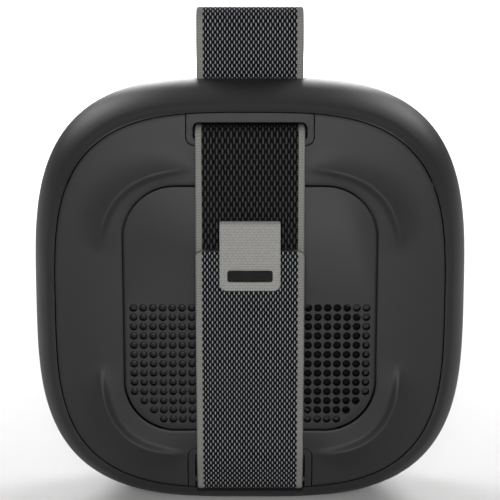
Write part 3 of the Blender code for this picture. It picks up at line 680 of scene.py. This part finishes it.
def build_strap(name, route, weave, spacing, inner_step=0.13 * MM, chamfer=False):
    """A woven strap along a (y, z) route. Both faces carry the relief, and the UV map holds its u and v in mm."""
    column, pitch, relief = weave
    line, step = smooth_path(route, spacing)
    half = STRAP_WIDTH / 2
    edge = STRAP_THICKNESS / 2
    section = [(x, edge, True) for x in strap_face(0.13 * MM)]
    section += [(half - 0.1 * MM, 0.62 * edge, False), (half, 0.0, False), (half - 0.1 * MM, -0.62 * edge, False)]
    section += [(x, -edge, True) for x in reversed(strap_face(inner_step))]
    section += [(-half + 0.1 * MM, -0.62 * edge, False), (-half, 0.0, False), (-half + 0.1 * MM, 0.62 * edge, False)]
    rows, marks = [], []
    for number, point in enumerate(line):
        before, after = line[max(number - 1, 0)], line[min(number + 1, len(line) - 1)]
        tangent = (after - before).normalized()
        normal = Vector((-tangent.y, tangent.x))
        v = number * step / MM
        from_end = (len(line) - 1 - number) * step / MM
        widest = half - 1.5 * MM * max(1 - from_end / 0.8, 0) if chamfer else half
        row = []
        for x, offset, woven in section:
            sunk = relief * (1 - thread_height(x / MM, v, column, pitch)) if woven else 0.0
            reach = offset - sunk if offset > 0 else offset + sunk
            where = point + normal * reach
            row.append(Vector((max(min(x, widest), -widest), where.x, where.y)))
        rows.append(row)
        marks.append(v)
    shape = loft(rows)
    layer = shape.loops.layers.uv.new("weave")
    place = {}
    for row, v in zip(range(len(rows)), marks):
        for column_index, (x, _, _) in enumerate(section):
            place[row * len(section) + column_index] = (x / MM, v)
    shape.verts.ensure_lookup_table()
    shape.verts.index_update()
    for polygon in shape.faces:
        for corner in polygon.loops:
            corner[layer].uv = place[corner.vert.index]
    return make(name, shape, 60)


def build_webbing(plain, patterned):
    upper = build_strap("upper_strap_webbing", upper_route(), PLAIN_WEAVE, 0.32 * MM, inner_step=0.5 * MM)
    stand_for(upper, "housing", "strap_dark", plain, "upper_strap")
    closure = build_strap("closure_strap_webbing", closure_route(), PATTERN_WEAVE, 0.26 * MM, 0.3 * MM, True)
    stand_for(closure, "closure", "strap_pattern", patterned, "closure_strap")
    loop = build_strap("carry_loop_webbing", loop_route(), PATTERN_WEAVE, 0.26 * MM)
    stand_for(loop, "loop", "strap_pattern", patterned, "carry_loop")


def tab_rings():
    """The folded pull tab: down its outer face, with a round fold at the top and a ribbed surface."""
    line, step = smooth_path(tab_route(), 0.16 * MM)
    rings = []
    for number, point in enumerate(line):
        before, after = line[max(number - 1, 0)], line[min(number + 1, len(line) - 1)]
        tangent = (after - before).normalized()
        normal = Vector((-tangent.y, tangent.x))
        from_end = number * step
        trim = TAB_CORNER - sqrt(max(TAB_CORNER**2 - max(TAB_CORNER - from_end, 0) ** 2, 0))
        half = TAB_HALF_WIDTH - trim
        rib = 0.5 + 0.5 * cos(tau * from_end / TAB_RIB)
        rings.append(tab_section(point, normal, half, rib))
    return rings


def tab_section(point, normal, half, rib):
    thick = TAB_THICKNESS / 2
    points = []
    for side in (1, -1):
        for step in range(41):
            share = step / 40 if side > 0 else 1 - step / 40
            x = (2 * share - 1) * half
            near_edge = smoothstep(0.0, 0.35 * MM, half - abs(x))
            reach = side * (thick * (0.55 + 0.45 * near_edge) - TAB_RELIEF * (1 - rib) * near_edge)
            where = point + normal * reach
            points.append(Vector((x, where.x, where.y)))
    return points


def tab_route():
    outer_y = TAB_OUTER_Y
    inner_y = TAB_INNER_Y
    fold = (outer_y - inner_y) / 2
    return (in_mm((outer_y / MM, TAB_LOW / MM), (outer_y / MM, (TAB_HIGH - fold) / MM - 0.45))
            + arc((outer_y - fold, TAB_HIGH - fold - TAB_THICKNESS / 2), fold, 0, 180, 16)
            + in_mm((inner_y / MM, 14.4)))


def build_tab(cloth, label_finish):
    tab = make("pull_tab_ribbon", loft(tab_rings()), 60)
    stand_for(tab, "closure", "tab_fabric", cloth, "pull_tab")
    rings = []
    for trim, y in ((0.0, 20.3), (0.0, 20.68), (0.06, 20.78), (0.16, 20.8)):
        outline = rounded_rectangle(LABEL_HALF.x - trim * MM, LABEL_HALF.y - trim * MM, 0.45 * MM - trim * MM, 96)
        rings.append(ring(shift(outline, 0, LABEL_Z), y * MM))
    for trim, y in ((0.34, 20.8), (0.4, 20.74)):
        outline = rounded_rectangle(LABEL_HALF.x - trim * MM, LABEL_HALF.y - trim * MM, 0.1 * MM, 96)
        rings.append(ring(shift(outline, 0, LABEL_Z), y * MM))
    label = make("tab_label_plate", loft(rings), 40)
    stand_for(label, "closure", "label", label_finish, "tab_label")


def build_grille(material):
    """The crowned, perforated front grille: staggered rows of round holes inside the front lip."""
    reach = BODY_WIDTH / 2 - GRILLE_INSET
    insets = [GRILLE_INSET + reach * share for share in (0.0, 0.004, 0.012, 0.03, 0.06, 0.1, 0.16, 0.24, 0.385)]
    outer = [ring(squircle(inset, 160), -crown(inset)) for inset in insets]
    outer[0] = ring(squircle(insets[0], 160), -crown(insets[0]) + 0.22 * MM)
    outer[1] = ring(squircle(insets[1], 160), -crown(insets[1]) + 0.08 * MM)
    inner = [ring(squircle(inset, 160), GRILLE_THICKNESS - crown(inset)) for inset in insets]
    grille = make("front_grille_steel", loft(list(reversed(outer)) + inner), 40)
    plugs = []
    for x, z in front_hole_places():
        outline = [(x + px, z + pz) for px, pz in circle(FRONT_HOLE_RADIUS, 12)]
        plugs.append([ring(outline, -18 * MM), ring(outline, -8 * MM)])
    carve(grille, [join_lofts(plugs)], solver="MANIFOLD")
    shade(grille, 40)
    stand_for(grille, "housing", "grille", material, "front_grille")


def front_hole_places():
    """Staggered rows of holes that stop short of the grille's rim."""
    margin = GRILLE_INSET + 2.2 * MM
    half_x = BODY_WIDTH / 2 - margin
    half_z = BODY_BOTTOM - margin
    rise = FRONT_PITCH * sqrt(3) / 2
    places = []
    for row in range(-22, 23):
        for column in range(-20, 21):
            x = (column + 0.5 * (row % 2)) * FRONT_PITCH
            z = row * rise
            if abs(x / half_x) ** OUTLINE_EXPONENT + abs(z / half_z) ** OUTLINE_EXPONENT < 1:
                places.append((x, z))
    return places


def build_port(material):
    """The charge port's metal shell: a round-ended tube with a tongue, seen in the side wall."""
    profile = ((4.5, 1.6, -48.4), (4.5, 1.6, -41.0), (4.1, 1.2, -41.4), (4.1, 1.2, -48.45), (4.3, 1.4, -48.55))
    rings = [port_ring(half_z * MM, half_y * MM, x * MM) for half_z, half_y, x in profile]
    port = make("charge_port_shell", loft(rings, closed=True), 40)
    tongue = [port_ring(3.3 * MM, 0.35 * MM, x * MM) for x in (-47.2, -41.2)]
    back = [port_ring(4.2 * MM, 1.3 * MM, x * MM) for x in (-41.6, -41.0)]
    carve(port, [join_lofts([tongue, back])], "UNION")
    stand_for(port, "housing", "steel", material, "charge_port")


def build_status_light(material):
    dome = [(circle(STATUS_LIGHT_RADIUS), -2.5 * MM), (circle(STATUS_LIGHT_RADIUS), -0.1 * MM),
            (circle(0.8 * STATUS_LIGHT_RADIUS), 0.05 * MM), (circle(0.4 * STATUS_LIGHT_RADIUS), 0.1 * MM)]
    light = make("status_light_lens", loft(shoulder_rings(STATUS_LIGHT_X, dome)), 60)
    stand_for(light, "housing", "light", material, "status_light")


# ---------------------------------------------------------------- materials


class Recipe:
    """A node material with short ways to add and join nodes. Values given as numbers stay on their sockets."""

    def __init__(self, name, roughness=0.5, metallic=0.0, specular=0.5):
        self.material = bpy.data.materials.new(name)
        self.material.use_nodes = True
        self.tree = self.material.node_tree
        self.shader = self.tree.nodes["Principled BSDF"]
        self.shader.inputs["Roughness"].default_value = roughness
        self.shader.inputs["Metallic"].default_value = metallic
        self.shader.inputs["Specular IOR Level"].default_value = specular
        self.place = self.tree.nodes.new("ShaderNodeTexCoord").outputs["Object"]

    def node(self, kind, inputs=None, **settings):
        made = self.tree.nodes.new(kind)
        for key, value in settings.items():
            setattr(made, key, value)
        for key, value in (inputs or {}).items():
            self.put(made.inputs[key], value)
        return made

    def put(self, socket, value):
        if isinstance(value, bpy.types.NodeSocket):
            self.tree.links.new(value, socket)
        else:
            socket.default_value = value

    def math(self, operation, first, second=0.0, third=0.0):
        made = self.node("ShaderNodeMath", {0: first, 1: second, 2: third}, operation=operation)
        return made.outputs[0]

    def noise(self, scale, detail=3.0, roughness=0.5, place=None):
        inputs = {"Vector": place or self.place, "Scale": scale, "Detail": detail, "Roughness": roughness}
        return self.node("ShaderNodeTexNoise", inputs).outputs["Fac"]

    def spread(self, value, low, high):
        """Maps a 0.3 to 0.7 value, as noise gives, onto low to high."""
        inputs = {"Value": value, "From Min": 0.3, "From Max": 0.7, "To Min": low, "To Max": high}
        return self.node("ShaderNodeMapRange", inputs).outputs["Result"]

    def blend(self, share, first, second):
        made = self.node("ShaderNodeMix", data_type="RGBA")
        self.put(made.inputs["Factor"], share)
        self.put(made.inputs["A"] if made.inputs["A"].type == "RGBA" else made.inputs[6], colour(first))
        self.put(made.inputs[7], colour(second))
        return made.outputs[2]

    def bump(self, height, distance, strength=1.0, after=None):
        inputs = {"Height": height, "Distance": distance, "Strength": strength}
        if after is not None:
            inputs["Normal"] = after
        return self.node("ShaderNodeBump", inputs).outputs["Normal"]

    def finish(self, base=None, roughness=None, normal=None):
        for key, value in (("Base Color", base), ("Roughness", roughness), ("Normal", normal)):
            if value is not None:
                self.put(self.shader.inputs[key], value)
        return self.material


def colour(value):
    """A grey number or an (r, g, b) triple as a full colour. Sockets pass through."""
    if isinstance(value, bpy.types.NodeSocket):
        return value
    if isinstance(value, (int, float)):
        return (value, value, value, 1.0)
    return (*value, 1.0)


def soft_touch(name, tone, roughness=0.52):
    """Moulded plastic with a soft-touch coat: a very fine grain and slow, faint changes of tone."""
    recipe = Recipe(name, specular=SHELL_SPECULAR)
    slow = recipe.noise(38.0, 2.0)
    grain = recipe.noise(5200.0, 2.0, 0.6)
    base = recipe.blend(recipe.spread(slow, 0.0, 1.0), tuple(0.94 * c for c in tone), tuple(1.06 * c for c in tone))
    rough = recipe.math("ADD", recipe.spread(slow, roughness - 0.03, roughness + 0.03),
                        recipe.spread(grain, -0.03, 0.03))
    return recipe.finish(base, rough, recipe.bump(grain, 0.00002, 0.5))


def metal(name, tone, roughness, grain_scale=900.0):
    recipe = Recipe(name, metallic=1.0)
    grain = recipe.noise(grain_scale, 4.0)
    base = recipe.blend(recipe.spread(grain, 0.0, 1.0), tuple(0.88 * c for c in tone), tuple(1.1 * c for c in tone))
    rough = recipe.spread(grain, roughness - 0.06, roughness + 0.06)
    return recipe.finish(base, rough, recipe.bump(grain, 0.00001, 0.3))


def coated_metal(name, tone, roughness):
    """Powder-coated steel with a fine orange-peel surface."""
    recipe = Recipe(name, specular=0.25)
    peel = recipe.noise(2600.0, 2.0)
    base = recipe.blend(recipe.spread(peel, 0.0, 1.0), tuple(0.9 * c for c in tone), tuple(1.12 * c for c in tone))
    return recipe.finish(base, recipe.spread(peel, roughness - 0.05, roughness + 0.05), recipe.bump(peel, 0.00003, 0.6))


def weave_coordinates(recipe):
    """The strap's own u across and v along, in millimetres."""
    uv = recipe.node("ShaderNodeUVMap", uv_map="weave").outputs["UV"]
    split = recipe.node("ShaderNodeSeparateXYZ", {"Vector": uv})
    return uv, split.outputs["X"], split.outputs["Y"]


def webbing(name, weave, ground, thread, thread_low, thread_high):
    """Woven tape: lozenge threads in staggered lanes on a dark ground, between two pale selvedges."""
    column, pitch, _ = weave
    recipe = Recipe(name, roughness=0.9, specular=0.08)
    uv, u, v = weave_coordinates(recipe)
    lane = recipe.math("DIVIDE", u, column)
    index = recipe.math("FLOOR", lane)
    across = recipe.math("SINE", recipe.math("MULTIPLY", recipe.math("SUBTRACT", lane, index), pi))
    stagger = recipe.math("MULTIPLY", recipe.math("FLOORED_MODULO", index, 2.0), 0.5)
    turn = recipe.math("MULTIPLY", recipe.math("ADD", recipe.math("DIVIDE", v, pitch), stagger), tau)
    along = recipe.math("MULTIPLY_ADD", recipe.math("COSINE", turn), 0.5, 0.5)
    lozenge = recipe.math("MULTIPLY", across, recipe.math("POWER", along, 0.6))
    fibres = recipe.noise(2.6, 3.0, 0.6, place=uv)
    shown = recipe.node("ShaderNodeMapRange", {"Value": lozenge, "From Min": thread_low, "From Max": thread_high},
                        interpolation_type="SMOOTHSTEP").outputs["Result"]
    body = recipe.blend(recipe.math("MULTIPLY", shown, recipe.spread(fibres, 0.75, 1.0)), ground, thread)
    edge = recipe.math("SUBTRACT", 12.0, recipe.math("ABSOLUTE", u))
    rib_turn = recipe.math("MULTIPLY", recipe.math("MULTIPLY_ADD", edge, 0.3, recipe.math("DIVIDE", v, SELVEDGE_PITCH)),
                           tau)
    rib = recipe.math("MULTIPLY_ADD", recipe.math("COSINE", rib_turn), 0.5, 0.5)
    fleck = recipe.noise(5.0, 4.0, 0.7, place=uv)
    pale_share = recipe.math("ADD", recipe.math("MULTIPLY", rib, 0.35), recipe.spread(fleck, 0.0, 0.65))
    pale = recipe.blend(pale_share, SELVEDGE_DARK, SELVEDGE_PALE)
    in_edge = recipe.node("ShaderNodeMapRange", {"Value": edge, "From Min": SELVEDGE / MM + 0.06,
                                                 "From Max": SELVEDGE / MM - 0.06}).outputs["Result"]
    return recipe.finish(recipe.blend(in_edge, body, pale), None, recipe.bump(fleck, 0.00004, 0.6))


def ribbed_tape(name):
    """The pull tab's grey tape: close horizontal ribs, each a row of short brick-like stitches."""
    recipe = Recipe(name, roughness=0.9, specular=0.08)
    split = recipe.node("ShaderNodeSeparateXYZ", {"Vector": recipe.place})
    row = recipe.math("DIVIDE", split.outputs["Z"], TAB_RIB)
    index = recipe.math("FLOOR", row)
    rib = recipe.math("SINE", recipe.math("MULTIPLY", recipe.math("SUBTRACT", row, index), pi))
    stagger = recipe.math("MULTIPLY", recipe.math("FLOORED_MODULO", index, 2.0), 0.5)
    stitch_turn = recipe.math("MULTIPLY", recipe.math("ADD", recipe.math("DIVIDE", split.outputs["X"], 0.9 * MM),
                                                      stagger), tau)
    stitch = recipe.math("MULTIPLY_ADD", recipe.math("COSINE", stitch_turn), 0.5, 0.5)
    fleck = recipe.noise(3200.0, 3.0, 0.6)
    share = recipe.math("ADD", recipe.math("MULTIPLY", rib, recipe.math("MULTIPLY_ADD", stitch, 0.25, 0.35)),
                        recipe.spread(fleck, 0.0, 0.4))
    return recipe.finish(recipe.blend(share, TAB_DARK, TAB_PALE), None, recipe.bump(share, 0.00004, 0.7))


def fabric(name, tone, pitch):
    """Plain woven cloth: fine crossing threads."""
    recipe = Recipe(name, roughness=0.95, specular=0.05)
    split = recipe.node("ShaderNodeSeparateXYZ", {"Vector": recipe.place})
    warp = recipe.math("SINE", recipe.math("MULTIPLY", split.outputs["X"], tau / pitch))
    weft = recipe.math("SINE", recipe.math("MULTIPLY", split.outputs["Z"], tau / pitch))
    weave = recipe.math("MULTIPLY_ADD", recipe.math("MULTIPLY", warp, weft), 0.5, 0.5)
    base = recipe.blend(weave, tuple(0.6 * c for c in tone), tuple(1.3 * c for c in tone))
    return recipe.finish(base, None, recipe.bump(weave, 0.00005, 0.6))


def mottled(name, low, high, scale, roughness, metallic=0.0, specular=0.4):
    """A finish that drifts between two tones, for the parts inside."""
    recipe = Recipe(name, metallic=metallic, specular=specular)
    drift = recipe.noise(scale, 4.0, 0.55)
    base = recipe.blend(recipe.spread(drift, 0.0, 1.0), low, high)
    rough = recipe.spread(drift, max(roughness - 0.06, 0.05), min(roughness + 0.06, 1.0))
    return recipe.finish(base, rough, recipe.bump(drift, 0.00002, 0.4))


def circuit_board(name):
    """Dark solder mask with faint copper tracks under it."""
    recipe = Recipe(name, specular=0.5)
    cells = recipe.node("ShaderNodeTexVoronoi", {"Vector": recipe.place, "Scale": 420.0},
                        distance="MANHATTAN").outputs["Distance"]
    tracks = recipe.math("GREATER_THAN", cells, 0.42)
    base = recipe.blend(tracks, (0.006, 0.035, 0.018), (0.02, 0.075, 0.035))
    return recipe.finish(base, 0.4, recipe.bump(tracks, 0.00003, 0.5))


def inside_materials():
    """The finishes of the CAD nodes that stay as they are, by their slot in the record."""
    return {
        "chassis": mottled("chassis_plastic", (0.012, 0.012, 0.013), (0.022, 0.022, 0.023), 900.0, 0.6),
        "cloth": fabric("acoustic_cloth", (0.004, 0.004, 0.004), 0.5 * MM),
        "strap_dark": fabric("hook_tape", (0.008, 0.008, 0.008), 0.8 * MM),
        "steel": metal("bright_steel", (0.5, 0.5, 0.51), 0.32),
        "basket": mottled("basket_steel", (0.03, 0.03, 0.03), (0.05, 0.05, 0.05), 700.0, 0.5, 0.7),
        "magnet": mottled("ferrite", (0.02, 0.02, 0.021), (0.04, 0.04, 0.042), 1500.0, 0.65),
        "copper": metal("copper_winding", (0.62, 0.26, 0.12), 0.35, 2600.0),
        "diaphragm": mottled("paper_cone", (0.012, 0.012, 0.012), (0.026, 0.026, 0.026), 2400.0, 0.85),
        "soft_rubber": mottled("moulded_rubber", (0.008, 0.008, 0.008), (0.016, 0.016, 0.016), 1100.0, 0.7),
        "spider_cloth": fabric("spider_weave", (0.33, 0.2, 0.07), 0.6 * MM),
        "foam": mottled("open_foam", (0.015, 0.015, 0.016), (0.05, 0.05, 0.052), 3800.0, 0.95),
        "cell_wrap": mottled("cell_wrap", (0.03, 0.09, 0.2), (0.045, 0.12, 0.26), 300.0, 0.35),
        "circuit": circuit_board("circuit_board"),
        "chip": mottled("chip_resin", (0.008, 0.008, 0.009), (0.018, 0.018, 0.019), 3000.0, 0.55),
        "leads": mottled("lead_jacket", (0.2, 0.012, 0.012), (0.34, 0.02, 0.02), 500.0, 0.45),
    }


def dress_cad_nodes():
    finishes = inside_materials()
    blackened = coated_metal("blackened_steel", (0.012, 0.012, 0.012), 0.6)
    for part in frame["record"]["subparts"]:
        finish = finishes.get(part["material_slot"])
        node = frame["nodes"][part["node"]]
        if finish is None or node.hide_render:
            continue
        node.data.materials.clear()
        node.data.materials.append(blackened if part["node"].startswith("strap_pin") else finish)


# ---------------------------------------------------------------- camera, light and floor


def add_camera():
    """Level with the look-at point's line, behind the object and a little above it."""
    target = HOME + Vector((0, 0, 9.6 * MM))
    rise = radians(13.33)
    place = target + 0.4403 * Vector((0, cos(rise), sin(rise)))
    lens = bpy.data.cameras.new("camera")
    lens.sensor_width = 36.0
    lens.lens = 36.0 * 1922.8 / 500
    lens.clip_start = 0.01
    camera = bpy.data.objects.new("camera", lens)
    camera.location = place
    camera.rotation_euler = (target - place).to_track_quat("-Z", "Y").to_euler()
    bpy.context.scene.collection.objects.link(camera)
    bpy.context.scene.camera = camera


def add_area_light(name, place, target, size, power, tint=(1.0, 1.0, 1.0)):
    lamp = bpy.data.lights.new(name, "AREA")
    lamp.shape = "RECTANGLE"
    lamp.size, lamp.size_y = size
    lamp.energy = power
    lamp.color = tint
    obj = bpy.data.objects.new(name, lamp)
    obj.location = place
    obj.rotation_euler = (Vector(target) - Vector(place)).to_track_quat("-Z", "Y").to_euler()
    bpy.context.scene.collection.objects.link(obj)


def add_lights():
    middle = (0.0, 0.0, 0.05)
    overhead = (0.0, -0.6, 0.0)
    add_area_light("top_softbox", (0.0, -0.6, 1.6), overhead, (3.0, 3.0), 9.0)
    for x, y in ((0, -1), (0, 1), (-1, 0), (1, 0)):
        place, far_ground = (1.3 * x, 1.3 * y, 1.1), (2.2 * x, 2.2 * y, 0.0)
        add_area_light("backdrop_softbox", place, far_ground, (1.6, 1.6), 50.0)
    add_area_light("rear_softbox", (0.0, 0.75, 0.24), middle, (0.3, 0.3), 7.0)
    add_area_light("front_softbox", (0.0, -0.75, 0.24), middle, (0.3, 0.3), 5.0)
    for side in (1, -1):
        add_area_light("corner_softbox", (0.34 * side, -0.36, 0.46), middle, (0.3, 0.3), 3.0)
    add_world()


def add_world():
    """A soft sky, brightest overhead and dim at the horizon, in front of a pale backdrop."""
    world = bpy.data.worlds.new("studio")
    world.use_nodes = True
    tree = world.node_tree
    direction = tree.nodes.new("ShaderNodeTexCoord").outputs["Generated"]
    split = tree.nodes.new("ShaderNodeSeparateXYZ")
    tree.links.new(direction, split.inputs["Vector"])
    fade = tree.nodes.new("ShaderNodeMapRange")
    fade.inputs["From Min"].default_value = -0.1
    fade.inputs["To Min"].default_value = HORIZON_STRENGTH
    fade.inputs["To Max"].default_value = ZENITH_STRENGTH
    tree.links.new(split.outputs["Z"], fade.inputs["Value"])
    backdrop = tree.nodes.new("ShaderNodeMix")
    backdrop.inputs["B"].default_value = 0.95
    tree.links.new(tree.nodes.new("ShaderNodeLightPath").outputs["Is Camera Ray"], backdrop.inputs["Factor"])
    tree.links.new(fade.outputs["Result"], backdrop.inputs["A"])
    background = tree.nodes["Background"]
    background.inputs["Color"].default_value = (1.0, 1.0, 1.0, 1.0)
    tree.links.new(backdrop.outputs["Result"], background.inputs["Strength"])
    bpy.context.scene.world = world
    bpy.context.scene.view_settings.view_transform = "Standard"


def add_floor():
    """A pale floor, a flat disc round the speaker, so that every view has an even ground."""
    recipe = Recipe("studio_floor", roughness=0.9, specular=0.1)
    haze = recipe.noise(3.0, 2.0)
    material = recipe.finish(recipe.blend(recipe.spread(haze, 0.0, 1.0), 0.5, 0.52))
    shape = bmesh.new()
    bmesh.ops.create_circle(shape, cap_ends=True, radius=1.7, segments=96)
    mesh = bpy.data.meshes.new("floor")
    shape.to_mesh(mesh)
    shape.free()
    floor_object = bpy.data.objects.new("floor", mesh)
    floor_object.data.materials.append(material)
    bpy.context.scene.collection.objects.link(floor_object)


# ---------------------------------------------------------------- build


def build_speaker():
    shell = soft_touch("soft_touch_shell", (0.016, 0.016, 0.016))
    insert = soft_touch("soft_touch_insert", (0.0145, 0.0145, 0.0145))
    # Painted shade: a near-black finish that stands in for the shade deep in the panel gap and the holes.
    mottled("painted_recess_shade", (0.001, 0.001, 0.001), (0.002, 0.002, 0.002), 600.0, 0.9, 0.0, 0.05)
    build_shell(shell)
    build_cover(shell)
    build_panel(shell)
    build_guides(insert)
    plain = webbing("plain_webbing", PLAIN_WEAVE, 0.0006, 0.027, 0.3, 0.75)
    patterned = webbing("patterned_webbing", PATTERN_WEAVE, 0.0008, (0.165, 0.17, 0.183), 0.42, 0.85)
    build_webbing(plain, patterned)
    build_tab(ribbed_tape("tab_tape"), mottled("label_rubber", (0.003, 0.003, 0.003), (0.004, 0.004, 0.004), 300.0, 0.7, 0.0, 0.12))
    build_keys(mottled("key_rubber", (0.02, 0.02, 0.02), (0.028, 0.028, 0.028), 800.0, 0.6))
    build_grille(coated_metal("coated_steel", (0.014, 0.014, 0.0145), 0.5))
    build_port(metal("port_steel", (0.45, 0.45, 0.46), 0.3))
    build_status_light(mottled("light_lens", (0.5, 0.5, 0.5), (0.6, 0.6, 0.6), 900.0, 0.2))
    dress_cad_nodes()


SELVEDGE_DARK = (0.075, 0.074, 0.07)
SELVEDGE_PALE = (0.17, 0.168, 0.16)
TAB_DARK = (0.115, 0.115, 0.11)
TAB_PALE = (0.225, 0.222, 0.213)

build_speaker()
add_camera()
add_lights()
add_floor()
